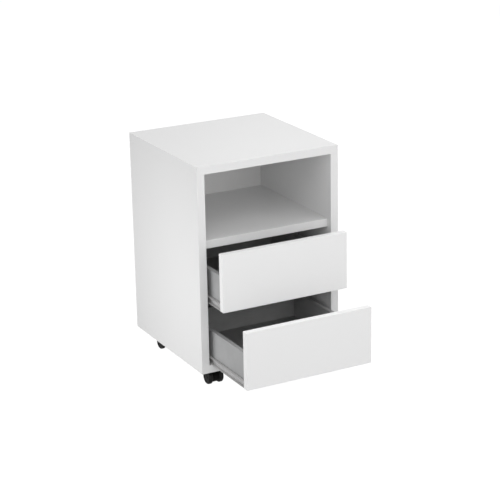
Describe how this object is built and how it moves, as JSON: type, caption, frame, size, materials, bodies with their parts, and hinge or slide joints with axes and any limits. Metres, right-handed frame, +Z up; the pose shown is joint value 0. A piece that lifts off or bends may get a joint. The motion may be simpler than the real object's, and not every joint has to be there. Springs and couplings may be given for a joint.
{
  "type": "rolling pedestal cabinet",
  "caption": "Low white office cabinet on twin-wheel castors: an open niche above handleless drawers that slide out on roller runners.",
  "frame": {"origin": "on the floor, under the centre of the carcass's footprint", "axes": "+Z up; -Y is the front, where the drawers open; +X is to the right of a person who faces the drawers"},
  "size_m": [0.42, 0.625, 0.623],
  "materials": {
    "white_melamine": "satin white melamine on chipboard, white edging",
    "front_lacquer": "semi-gloss white foil on chipboard",
    "white_hardboard": "matt white lacquered hardboard",
    "grey_foil": "satin grey foil on chipboard",
    "dark_hardboard": "satin grey lacquered hardboard",
    "beech": "raw fluted beech",
    "runner_enamel": "grey powder coat on folded steel",
    "roller_nylon": "moulded nylon",
    "castor_nylon": "black moulded nylon, fine grain",
    "castor_wheel_nylon": "black moulded nylon, satin",
    "zinc_steel": "zinc-plated steel"
  },
  "bodies": {
    "carcass": {"top_panel": "white_melamine", "bottom_panel": "white_melamine", "left_side_panel": "white_melamine", "right_side_panel": "white_melamine", "niche_shelf": "white_melamine", "back_panel": "white_hardboard", "carcass_dowels": "beech", "cabinet_runner_screws": "zinc_steel", "castor_screws": "zinc_steel", "upper_cabinet_runner_left": "runner_enamel", "upper_cabinet_runner_right": "runner_enamel", "lower_cabinet_runner_left": "runner_enamel", "lower_cabinet_runner_right": "runner_enamel", "front_left_castor_plate": "zinc_steel", "front_right_castor_plate": "zinc_steel", "rear_left_castor_plate": "zinc_steel", "rear_right_castor_plate": "zinc_steel"},
    "upper_drawer": {"upper_drawer_front": "front_lacquer", "upper_drawer_left_side": "grey_foil", "upper_drawer_right_side": "grey_foil", "upper_drawer_back": "grey_foil", "upper_drawer_bottom": "dark_hardboard", "upper_drawer_dowels": "beech", "upper_drawer_runner_left": "runner_enamel", "upper_drawer_runner_right": "runner_enamel", "upper_drawer_runner_screws": "zinc_steel"},
    "upper_cabinet_roller_left": {"upper_cabinet_roller_left": "roller_nylon"},
    "upper_drawer_roller_left": {"upper_drawer_roller_left": "roller_nylon"},
    "upper_cabinet_roller_right": {"upper_cabinet_roller_right": "roller_nylon"},
    "upper_drawer_roller_right": {"upper_drawer_roller_right": "roller_nylon"},
    "lower_drawer": {"lower_drawer_front": "front_lacquer", "lower_drawer_left_side": "grey_foil", "lower_drawer_right_side": "grey_foil", "lower_drawer_back": "grey_foil", "lower_drawer_bottom": "dark_hardboard", "lower_drawer_dowels": "beech", "lower_drawer_runner_left": "runner_enamel", "lower_drawer_runner_right": "runner_enamel", "lower_drawer_runner_screws": "zinc_steel"},
    "lower_cabinet_roller_left": {"lower_cabinet_roller_left": "roller_nylon"},
    "lower_drawer_roller_left": {"lower_drawer_roller_left": "roller_nylon"},
    "lower_cabinet_roller_right": {"lower_cabinet_roller_right": "roller_nylon"},
    "lower_drawer_roller_right": {"lower_drawer_roller_right": "roller_nylon"},
    "front_left_castor": {"front_left_castor_housing": "castor_nylon", "front_left_castor_axle": "zinc_steel"},
    "front_left_castor_left_wheel": {"front_left_castor_left_wheel": "castor_wheel_nylon"},
    "front_left_castor_right_wheel": {"front_left_castor_right_wheel": "castor_wheel_nylon"},
    "front_right_castor": {"front_right_castor_housing": "castor_nylon", "front_right_castor_axle": "zinc_steel"},
    "front_right_castor_left_wheel": {"front_right_castor_left_wheel": "castor_wheel_nylon"},
    "front_right_castor_right_wheel": {"front_right_castor_right_wheel": "castor_wheel_nylon"},
    "rear_left_castor": {"rear_left_castor_housing": "castor_nylon", "rear_left_castor_axle": "zinc_steel"},
    "rear_left_castor_left_wheel": {"rear_left_castor_left_wheel": "castor_wheel_nylon"},
    "rear_left_castor_right_wheel": {"rear_left_castor_right_wheel": "castor_wheel_nylon"},
    "rear_right_castor": {"rear_right_castor_housing": "castor_nylon", "rear_right_castor_axle": "zinc_steel"},
    "rear_right_castor_left_wheel": {"rear_right_castor_left_wheel": "castor_wheel_nylon"},
    "rear_right_castor_right_wheel": {"rear_right_castor_right_wheel": "castor_wheel_nylon"}
  },
  "joints": [
    {"name": "upper_drawer_slide", "type": "slide", "parent": "carcass", "child": "upper_drawer", "axis": [0, -1, 0], "range_m": [-0.0855, 0.1695]},
    {"name": "upper_cabinet_roller_left_turn", "type": "hinge", "parent": "carcass", "child": "upper_cabinet_roller_left", "pos_m": [-0.1808, -0.1735, 0.2577], "axis": [1, 0, 0], "continuous": true},
    {"name": "upper_drawer_roller_left_turn", "type": "hinge", "parent": "upper_drawer", "child": "upper_drawer_roller_left", "pos_m": [-0.1808, 0.064, 0.2577], "axis": [1, 0, 0], "continuous": true},
    {"name": "upper_cabinet_roller_right_turn", "type": "hinge", "parent": "carcass", "child": "upper_cabinet_roller_right", "pos_m": [0.1808, -0.1735, 0.2577], "axis": [1, 0, 0], "continuous": true},
    {"name": "upper_drawer_roller_right_turn", "type": "hinge", "parent": "upper_drawer", "child": "upper_drawer_roller_right", "pos_m": [0.1808, 0.064, 0.2577], "axis": [1, 0, 0], "continuous": true},
    {"name": "lower_drawer_slide", "type": "slide", "parent": "carcass", "child": "lower_drawer", "axis": [0, -1, 0], "range_m": [-0.21, 0.045]},
    {"name": "lower_cabinet_roller_left_turn", "type": "hinge", "parent": "carcass", "child": "lower_cabinet_roller_left", "pos_m": [-0.1808, -0.1735, 0.0862], "axis": [1, 0, 0], "continuous": true},
    {"name": "lower_drawer_roller_left_turn", "type": "hinge", "parent": "lower_drawer", "child": "lower_drawer_roller_left", "pos_m": [-0.1808, -0.0605, 0.0862], "axis": [1, 0, 0], "continuous": true},
    {"name": "lower_cabinet_roller_right_turn", "type": "hinge", "parent": "carcass", "child": "lower_cabinet_roller_right", "pos_m": [0.1808, -0.1735, 0.0862], "axis": [1, 0, 0], "continuous": true},
    {"name": "lower_drawer_roller_right_turn", "type": "hinge", "parent": "lower_drawer", "child": "lower_drawer_roller_right", "pos_m": [0.1808, -0.0605, 0.0862], "axis": [1, 0, 0], "continuous": true},
    {"name": "front_left_castor_swivel", "type": "hinge", "parent": "carcass", "child": "front_left_castor", "pos_m": [-0.1535, -0.1475, 0.0495], "axis": [0, 0, 1], "continuous": true},
    {"name": "front_left_castor_left_wheel_roll", "type": "hinge", "parent": "front_left_castor", "child": "front_left_castor_left_wheel", "pos_m": [-0.16925, -0.1595, 0.02], "axis": [1, 0, 0], "continuous": true},
    {"name": "front_left_castor_right_wheel_roll", "type": "hinge", "parent": "front_left_castor", "child": "front_left_castor_right_wheel", "pos_m": [-0.13775, -0.1595, 0.02], "axis": [1, 0, 0], "continuous": true},
    {"name": "front_right_castor_swivel", "type": "hinge", "parent": "carcass", "child": "front_right_castor", "pos_m": [0.1535, -0.1475, 0.0495], "axis": [0, 0, 1], "continuous": true},
    {"name": "front_right_castor_left_wheel_roll", "type": "hinge", "parent": "front_right_castor", "child": "front_right_castor_left_wheel", "pos_m": [0.13775, -0.1595, 0.02], "axis": [1, 0, 0], "continuous": true},
    {"name": "front_right_castor_right_wheel_roll", "type": "hinge", "parent": "front_right_castor", "child": "front_right_castor_right_wheel", "pos_m": [0.16925, -0.1595, 0.02], "axis": [1, 0, 0], "continuous": true},
    {"name": "rear_left_castor_swivel", "type": "hinge", "parent": "carcass", "child": "rear_left_castor", "pos_m": [-0.1535, 0.1475, 0.0495], "axis": [0, 0, 1], "continuous": true},
    {"name": "rear_left_castor_left_wheel_roll", "type": "hinge", "parent": "rear_left_castor", "child": "rear_left_castor_left_wheel", "pos_m": [-0.16925, 0.1355, 0.02], "axis": [1, 0, 0], "continuous": true},
    {"name": "rear_left_castor_right_wheel_roll", "type": "hinge", "parent": "rear_left_castor", "child": "rear_left_castor_right_wheel", "pos_m": [-0.13775, 0.1355, 0.02], "axis": [1, 0, 0], "continuous": true},
    {"name": "rear_right_castor_swivel", "type": "hinge", "parent": "carcass", "child": "rear_right_castor", "pos_m": [0.1535, 0.1475, 0.0495], "axis": [0, 0, 1], "continuous": true},
    {"name": "rear_right_castor_left_wheel_roll", "type": "hinge", "parent": "rear_right_castor", "child": "rear_right_castor_left_wheel", "pos_m": [0.13775, 0.1355, 0.02], "axis": [1, 0, 0], "continuous": true},
    {"name": "rear_right_castor_right_wheel_roll", "type": "hinge", "parent": "rear_right_castor", "child": "rear_right_castor_right_wheel", "pos_m": [0.16925, 0.1355, 0.02], "axis": [1, 0, 0], "continuous": true}
  ],
  "couplings": [
    {"joint": "upper_cabinet_roller_left_turn", "follows": "upper_drawer_slide", "rad_per_m": 142.86},
    {"joint": "upper_drawer_roller_left_turn", "follows": "upper_drawer_slide", "rad_per_m": 105.26},
    {"joint": "upper_cabinet_roller_right_turn", "follows": "upper_drawer_slide", "rad_per_m": 142.86},
    {"joint": "upper_drawer_roller_right_turn", "follows": "upper_drawer_slide", "rad_per_m": 105.26},
    {"joint": "lower_cabinet_roller_left_turn", "follows": "lower_drawer_slide", "rad_per_m": 142.86},
    {"joint": "lower_drawer_roller_left_turn", "follows": "lower_drawer_slide", "rad_per_m": 105.26},
    {"joint": "lower_cabinet_roller_right_turn", "follows": "lower_drawer_slide", "rad_per_m": 142.86},
    {"joint": "lower_drawer_roller_right_turn", "follows": "lower_drawer_slide", "rad_per_m": 105.26}
  ]
}
